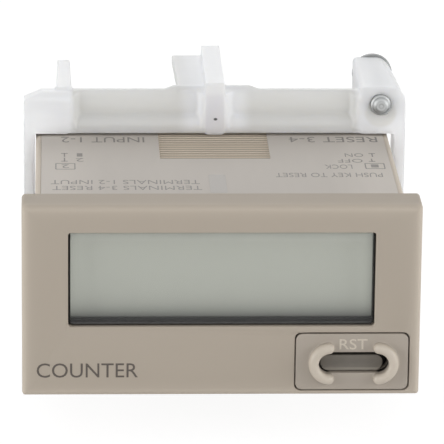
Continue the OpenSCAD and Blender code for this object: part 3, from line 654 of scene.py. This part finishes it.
def battery_sleeve():
    """Shrink sleeve of the cell: plain green film with fine shrink lines, bare metal ends."""
    sleeve_half, bare_half = 11.3, 11.5
    finish = Finish("battery_sleeve")
    x = finish.axes()[0]
    bare = x.size().step(sleeve_half, bare_half)
    shrink = finish.noise(0.8, 3.0, finish.stretched((5.0, 1.0, 1.0)))
    film = finish.blend(shrink, tint(84, 116, 82), tint(104, 138, 100))
    colour = finish.blend(bare, film, tint(190, 190, 186))
    dull = 0.3 + shrink * 0.12
    return finish.solid(colour, dull, finish.relief(shrink, 0.03, 0.6), metallic=bare)


# Lettering and print


def words(name, text, height, thick, weight=0.0, width=None):
    """A line of raised lettering with this capital height, as a mesh that lies flat at the origin,
    stretched to a width if one is given."""
    capital_share = 0.729
    bpy.ops.object.text_add(location=(0, 0, 0))
    line = bpy.context.object
    line.name = name
    line.data.body = text
    line.data.align_x = "CENTER"
    line.data.align_y = "BOTTOM_BASELINE"
    line.data.size = height / capital_share * MM
    line.data.extrude = thick / 2 * MM
    line.data.offset = weight * MM
    line.data.resolution_u = 4
    only(line)
    bpy.ops.object.convert(target="MESH")
    line = bpy.context.view_layer.objects.active
    if width:
        line.scale = (width * MM / line.dimensions.x, 1, 1)
        settle(line)
    return line


def on_front(piece, x, z):
    """Turns flat print upright and sets it on the bezel's face."""
    piece.rotation_euler = (math.radians(90), 0, 0)
    piece.location = (x * MM, BEZEL_FACE_Y * MM, z * MM)
    settle(piece)


def on_label(piece, x, y):
    """Lays flat print on the label, so that it reads from the rear."""
    piece.rotation_euler = (0, 0, math.pi)
    piece.location = (x * MM, y * MM, LABEL_TOP_Z * MM)
    settle(piece)


def bar(name, width, length, thick):
    """A flat printed bar, with its corners rounded, at the origin."""
    corner = min(width, length) * 0.1
    bpy.ops.mesh.primitive_plane_add(size=1, location=(0, 0, 0))
    piece = bpy.context.object
    piece.name = name
    piece.scale = (width * MM, length * MM, 1)
    settle(piece)
    edit(piece)
    bpy.ops.mesh.bevel(offset=corner * MM, affect="VERTICES", segments=2)
    bpy.ops.mesh.select_all(action="SELECT")
    bpy.ops.mesh.extrude_region_move(TRANSFORM_OT_translate={"value": (0, 0, thick / 2 * MM)})
    bpy.ops.mesh.select_all(action="SELECT")
    bpy.ops.mesh.normals_make_consistent(inside=False)
    close_edit()
    return piece


def key_mark():
    """The key's mark above its slot."""
    spread = 1.15
    mark = words("reset_mark", "RST", height=1.36, thick=0.06, weight=0.012)
    mark.scale = (spread, 1.0, 1.0)
    settle(mark)
    on_front(mark, x=15.9, z=-6.1)
    fit(mark, ink("mark_ink", tint(202, 193, 179)), "housing")


def front_legend():
    """A plain word at the bezel's lower left."""
    legend = words("front_legend", "COUNTER", height=1.9, thick=0.04)
    on_front(legend, x=-16.2, z=-9.6)
    fit(legend, ink("legend_ink", tint(92, 84, 78)), "housing")


def label_print():
    """Switch settings beside both sliders, terminal uses, terminal numbers at the rear, and a
    grey field."""
    thick, weight = 0.03, -0.015
    pieces = []

    def put(text, height, x, y, width=None):
        line = words("label_words", text, height, thick, weight, width)
        on_label(line, x, y)
        pieces.append(line)

    def rule(width, length, x, y):
        line = bar("label_rule", width, length, thick)
        on_label(line, x, y)
        pieces.append(line)

    def arrow(x, y0, y1):
        stem, barb_w, barb_l, barb_out, barb_back = 0.16, 0.42, 0.2, 0.2, 0.18
        rule(stem, abs(y1 - y0), x, (y0 + y1) / 2)
        barb_y = y1 - barb_back if y1 > y0 else y1 + barb_back
        for side in (-1, 1):
            rule(barb_w, barb_l, x + side * barb_out, barb_y)

    def boxed(text, x, y, width, length):
        margin, upright, level = 0.45, 0.14, 0.18
        put(text, length - 2 * margin, x, y + length / 2 - margin, width * 0.4)
        for side in (-1, 1):
            rule(upright, length, x + side * width / 2, y)
            rule(width, level, x, y + side * length / 2)

    for number, x in zip("1234", TERMINAL_AXES_X[::-1]):
        put(number, 1.9, x, 46.4)
    put("INPUT 1-2", 2.5, -13.9, 28.1, 10.5)
    put("RESET 3-4", 2.5, 15.3, 28.1, 11.2)
    put("ON", 1.6, 17.4, 20.6, 2.3)
    arrow(19.7, 19.1, 20.7)
    put("OFF", 1.65, 16.8, 18.1, 3.1)
    arrow(19.5, 18.2, 16.9)
    put("LOCK", 1.9, 15.2, 15.6, 3.4)
    boxed("1", 19.7, 15.0, 2.35, 2.3)
    put("PUSH KEY TO RESET", 1.9, 13.8, 12.0, 13.2)
    put("1", 1.6, -16.9, 20.8, 0.7)
    put("2", 1.6, -16.9, 18.6, 1.0)
    arrow(-18.8, 19.2, 20.9)
    arrow(-18.8, 18.8, 17.1)
    boxed("2", -18.7, 15.0, 2.35, 2.5)
    put("TERMINALS 1-2 INPUT", 1.8, -11.4, 9.0, 18.2)
    put("TERMINALS 3-4 RESET", 1.8, -11.2, 6.5, 18.2)
    dark = join("label_print", pieces)
    fit(dark, ink("label_ink", tint(136, 131, 126)), "housing")
    field = bar("label_field", 2.1, 7.8, thick)
    on_label(field, -0.1, 7.4)
    fit(field, ink("field_ink", tint(180, 175, 169)), "housing")


# Screws


def turned_bar(name, stations):
    """A round bar on the Y axis, raised from a disc by extruding and scaling between stations."""
    (y0, r0), *rest = stations
    bpy.ops.mesh.primitive_circle_add(vertices=48, radius=r0 * MM, fill_type="NGON",
                                      location=(0, y0 * MM, 0), rotation=(math.radians(90), 0, 0))
    piece = bpy.context.object
    piece.name = name
    settle(piece)
    edit(piece)
    last_y, last_r = y0, r0
    for y, r in rest:
        along = (0, (y - last_y) * MM, 0)
        share = r / last_r
        bpy.ops.mesh.extrude_region_move(TRANSFORM_OT_translate={"value": along})
        bpy.ops.transform.resize(value=(share, 1, share), center_override=(0, y * MM, 0))
        last_y, last_r = y, r
    bpy.ops.mesh.select_all(action="SELECT")
    bpy.ops.mesh.normals_make_consistent(inside=False)
    close_edit()
    return piece


def cross_cutter(top_y, length, width, depth, turn):
    """One bar of a screw's cross recess, narrower at its bottom."""
    taper = 0.55
    bpy.ops.mesh.primitive_cube_add(size=1, location=(0, 0, 0))
    cutter = bpy.context.object
    cutter.scale = (length * MM, 2 * depth * MM, width * MM)
    settle(cutter)
    edit(cutter)
    select_faces(cutter, lambda face: face.normal.y < -0.9)
    bpy.ops.transform.resize(value=(taper, 1, taper), center_override=(0, -depth * MM, 0))
    close_edit()
    cutter.rotation_euler = (0, math.radians(turn), 0)
    cutter.location = (0, top_y * MM, 0)
    settle(cutter)
    return cutter


def cut_recess(piece, top_y, head_d):
    """Sinks a cross recess into a screw's head."""
    length, width, depth = head_d * 0.6, head_d * 0.15, head_d * 0.24
    for turn in (0, 90):
        cutter = cross_cutter(top_y, length, width, depth, turn)
        cut = piece.modifiers.new("recess", "BOOLEAN")
        cut.operation = "DIFFERENCE"
        cut.object = cutter
        apply_all(piece)
        bpy.data.objects.remove(cutter)


def thread(y0, y1, radius, pitch):
    """A screw thread on the Y axis: a small diamond carried round and along, its ends closed."""
    turns = int((y1 - y0) / pitch)
    steps_a_turn = 24
    weld = 0.001 * MM
    bpy.ops.mesh.primitive_circle_add(vertices=4, radius=pitch / 2 * MM, fill_type="NOTHING",
                                      location=(0, 0, 0))
    ridge = bpy.context.object
    edit(ridge)
    bpy.ops.transform.translate(value=(radius * MM, 0, 0))
    close_edit()
    helix = ridge.modifiers.new("helix", "SCREW")
    helix.axis = "Y"
    helix.screw_offset = pitch * MM
    helix.iterations = turns
    helix.steps = steps_a_turn
    helix.render_steps = steps_a_turn
    apply_all(ridge)
    edit(ridge)
    bpy.ops.mesh.remove_doubles(threshold=weld)
    bpy.ops.mesh.fill_holes(sides=0)
    bpy.ops.mesh.select_all(action="SELECT")
    bpy.ops.mesh.normals_make_consistent(inside=False)
    close_edit()
    ridge.location = (0, y0 * MM, 0)
    settle(ridge)
    return ridge


def pan_head_screw(name, tip_y, shank, diameter, head_d, head_h, pitch):
    """A threaded screw on the Y axis with its tip to the front and a domed, cross-recessed head."""
    point, neck, rim = 0.6, 0.6, 0.12
    core = diameter / 2 - pitch / 2
    crest = diameter / 2
    head_r = head_d / 2
    seat_y = tip_y + shank
    top_y = seat_y + head_h
    dome = [(seat_y + head_h * math.sin(step), head_r * (0.5 + 0.5 * math.cos(step)))
            for step in (0.62, 0.85, 1.08, 1.3)]
    stations = [(tip_y, core - 0.45), (tip_y + 0.35, core - 0.05), (tip_y + point, core),
                (seat_y - neck, core), (seat_y - neck / 2, crest), (seat_y, crest),
                (seat_y, head_r - rim), (seat_y + rim, head_r), (seat_y + head_h * 0.45, head_r)]
    stations += dome + [(top_y, head_r * 0.5)]
    bar_piece = turned_bar(name, stations)
    cut_recess(bar_piece, top_y, head_d)
    ridge = thread(tip_y + 0.45, seat_y - 0.7, core, pitch)
    screw = join(name, [bar_piece, ridge])
    smooth(screw)
    return screw


def set_screw(model, name, x, z, turn):
    """A copy of a screw with a mesh of its own, turned and moved to its place."""
    screw = bpy.data.objects.new(name, model.data.copy())
    bpy.context.scene.collection.objects.link(screw)
    screw.data.name = name
    screw.rotation_euler = (0, math.radians(turn), 0)
    screw.location = (x * MM, 0, z * MM)
    settle(screw)
    return screw


def clamp_screws(steel):
    """Both clamp screws, each copied from one model with a turn of its own."""
    x, z = CLAMP_AXIS
    model = pan_head_screw("clamp_screw_model", CLAMP_TIP_Y, CLAMP_SHANK,
                           diameter=2.6, head_d=5.2, head_h=1.7, pitch=0.45)
    for name, body, side, turn in (("clamp_screw_upper", "upper_screw", 1, 20),
                                   ("clamp_screw_lower", "lower_screw", -1, 65)):
        screw = set_screw(model, name + "_threaded", BRACKET_MIDDLE_X + side * x, side * z, turn)
        fit(screw, steel, body, [name])
    bpy.data.objects.remove(model)


def terminal_screws(steel):
    """Four terminal screws, each copied from one model with a turn of its own."""
    turns = (12, 40, 75, 33)
    model = pan_head_screw("terminal_screw_model", TERMINAL_TIP_Y, TERMINAL_SHANK,
                           diameter=3.5, head_d=6.2, head_h=2.2, pitch=0.6)
    for number, (x, turn) in enumerate(zip(TERMINAL_AXES_X, turns), 1):
        screw = set_screw(model, f"terminal_screw_{number}", x, TERMINAL_AXIS_Z, turn)
        fit(screw, steel, "housing", ["terminal_screws"])
    bpy.data.objects.remove(model)


# Pieces whose sharp CAD edges are rounded, and the whole object


def rounded_piece(node, name, width, finish, body):
    """A copy of a CAD node with rounded edges, which stands for the node."""
    piece = copy_of_node(node, name)
    soften(piece, width)
    fit(piece, finish, body, [node])


def melted(piece, grid, passes, kept):
    """Gives a piece the flowing edges and hollow corners of a moulding with a soft skin."""
    skin = piece.modifiers.new("skin", "REMESH")
    skin.mode = "VOXEL"
    skin.voxel_size = grid * MM
    rounding = piece.modifiers.new("rounding", "SMOOTH")
    rounding.factor = 0.5
    rounding.iterations = passes
    thinning = piece.modifiers.new("thinning", "DECIMATE")
    thinning.ratio = kept
    apply_all(piece)
    only(piece)
    bpy.ops.object.shade_smooth()


def bracket_moulding():
    """The clamp bracket with its edges and corners flowing."""
    piece = copy_of_node("mounting_bracket", "bracket_moulding")
    melted(piece, grid=0.15, passes=5, kept=0.36)
    fit(piece, bracket_plastic(), "bracket", ["mounting_bracket"])


def reset_pad_moulding():
    """The insert with its guards flowing into its face."""
    piece = copy_of_node("reset_pad", "reset_pad_moulding")
    melted(piece, grid=0.08, passes=4, kept=0.5)
    fit(piece, pad_plastic(), "housing", ["reset_pad"])


def window_pane():
    """The clear window, its rear face a hair off the display behind it."""
    hair = 0.05
    pane = copy_of_node("display_window", "display_window_pane")
    edit(pane)
    select_faces(pane, lambda face: face.normal.y > 0.9)
    bpy.ops.transform.translate(value=(0, -hair * MM, 0))
    close_edit()
    soften(pane, 0.12)
    fit(pane, window_clear(), "housing", ["display_window"])


def object_pieces():
    """Every piece of the object, and the finish of every CAD node that still shows."""
    case = case_plastic()
    key = key_plastic()
    dark = dark_plastic()
    steel = plated_steel()
    white = white_plastic()
    board = circuit_board()
    film = display_film()
    glass = display_glass()
    rounded_piece("case", "case_moulding", 0.1, case, "housing")
    reset_pad_moulding()
    rounded_piece("reset_button", "reset_key_moulding", 0.12, key, "reset_key")
    bracket_moulding()
    rounded_piece("terminal_block", "terminal_block_moulding", 0.12, block_plastic(), "housing")
    rounded_piece("terminal_washers", "terminal_washer_set", 0.1, steel, "housing")
    rounded_piece("terminal_contacts", "terminal_contact_set", 0.08, contact_brass(), "housing")
    window_pane()
    for side, body in (("key", "key_slider"), ("range", "range_slider")):
        rounded_piece(f"{side}_switch_slider", f"{side}_slider_tip", 0.1, white, body)
        dress(f"{side}_switch_body", dark)
    clamp_screws(clamp_steel())
    terminal_screws(steel)
    for node, finish in (
            ("front_polariser", film), ("reflector_film", film),
            ("front_glass", glass), ("rear_glass", glass), ("display_holder", white),
            ("display_board", board), ("main_board", board),
            ("counter_chip", dark), ("reset_switch", dark), ("timing_crystal", steel),
            ("battery_tab_positive", steel), ("battery_tab_negative", steel),
            ("contact_strip", contact_rubber()), ("board_link_pins", pin_brass()),
            ("input_components", component_body()), ("battery_cell", battery_sleeve()),
            ("rating_label", label_film())):
        dress(node, finish)
    key_mark()
    front_legend()
    label_print()


# Camera, floor and light


def camera():
    """The photograph's own view: place, turn and lens found from the bezel's edges."""
    eye = Vector((-20.129, -479.879, 156.151)) * MM
    yaw, pitch, roll = 0.04221, 0.29846, 0.01089
    focal_px, frame_px, sensor = 4163.7, 444, 36.0
    ahead = Vector((math.sin(yaw) * math.cos(pitch), math.cos(yaw) * math.cos(pitch),
                    -math.sin(pitch)))
    level = Vector((math.cos(yaw), -math.sin(yaw), 0))
    upright = level.cross(ahead)
    right = level * math.cos(roll) + upright * math.sin(roll)
    up = upright * math.cos(roll) - level * math.sin(roll)
    lens = bpy.data.cameras.new("camera")
    lens.sensor_fit = "HORIZONTAL"
    lens.sensor_width = sensor
    lens.lens = focal_px / frame_px * sensor
    lens.clip_start = 0.01
    lens.clip_end = 20
    view = bpy.data.objects.new("camera", lens)
    bpy.context.scene.collection.objects.link(view)
    view.matrix_world = Matrix.Translation(eye) @ Matrix((right, up, -ahead)).transposed().to_4x4()
    bpy.context.scene.camera = view


def seen_directly(finish):
    """1 for what the camera sees, also in a mirror or through glass, and 0 for other light."""
    path = finish.add("LightPath")
    mirrored, through = path.output("Is Glossy Ray"), path.output("Is Transmission Ray")
    return path.high(mirrored).high(through)


def floor():
    """A pale floor that looks white where it is lit and keeps a faint shadow of the part."""
    lowest = cad_box[0].z
    clearance = 0.05 * MM
    bpy.ops.mesh.primitive_plane_add(size=6, location=(0, 0, lowest - clearance))
    ground = bpy.context.object
    ground.name = "floor"
    finish = Finish("floor_paper")
    grain = finish.noise(6.0, 2.0)
    paper = finish.blend(grain, (0.89, 0.89, 0.89, 1), (0.91, 0.91, 0.91, 1))
    pale = finish.add("BsdfDiffuse", None, {"Color": paper})
    shadowed = finish.add("BsdfDiffuse", None, {"Color": (0.22, 0.22, 0.22, 1)})
    glow = finish.add("Emission", None, {"Color": (1, 1, 1, 1), "Strength": 0.9})
    white = finish.add("AddShader", None, {0: shadowed, 1: glow})
    paving = finish.add("MixShader", None, {0: seen_directly(finish), 1: pale, 2: white})
    ground.data.materials.append(finish.surface(paving))


def studio_air():
    """Even light from all round, and white where the camera looks past the floor."""
    world = bpy.data.worlds.new("studio")
    bpy.context.scene.world = world
    world.use_nodes = True
    air = Finish("studio", world.node_tree)
    ambient = air.add("Background", None, {"Color": (0.98, 0.99, 1.0, 1), "Strength": 0.32})
    white = air.add("Background", None, {"Color": (1, 1, 1, 1), "Strength": 1.0})
    light = air.add("MixShader", None, {0: seen_directly(air), 1: ambient, 2: white})
    air.add("OutputWorld", None, {"Surface": light})


def soft_lamp(name, place, size, power):
    """A square lamp that looks at the part, and that the camera doesn't see."""
    lamp = bpy.data.lights.new(name, "AREA")
    lamp.shape = "SQUARE"
    lamp.size = size
    lamp.energy = power
    holder = bpy.data.objects.new(name, lamp)
    bpy.context.scene.collection.objects.link(holder)
    holder.location = place
    middle = Vector((0, 0.01, 0))
    ahead = middle - Vector(place)
    holder.rotation_euler = ahead.to_track_quat("-Z", "Y").to_euler()
    holder.visible_camera = False


def studio():
    """Floor, even light and four soft lamps. Places and sizes of lamps are in metres."""
    studio_air()
    floor()
    soft_lamp("back_lamp", (-0.1, 1.1, 0.9), size=1.0, power=5.5)
    soft_lamp("left_lamp", (-1.15, -0.4, 0.15), size=0.9, power=9.4)
    soft_lamp("right_lamp", (1.15, -0.4, 0.15), size=0.9, power=9.2)
    soft_lamp("front_lamp", (0.2, -1.35, 0.5), size=0.9, power=3.4)


bpy.context.scene.view_settings.view_transform = "Standard"
object_pieces()
studio()
camera()
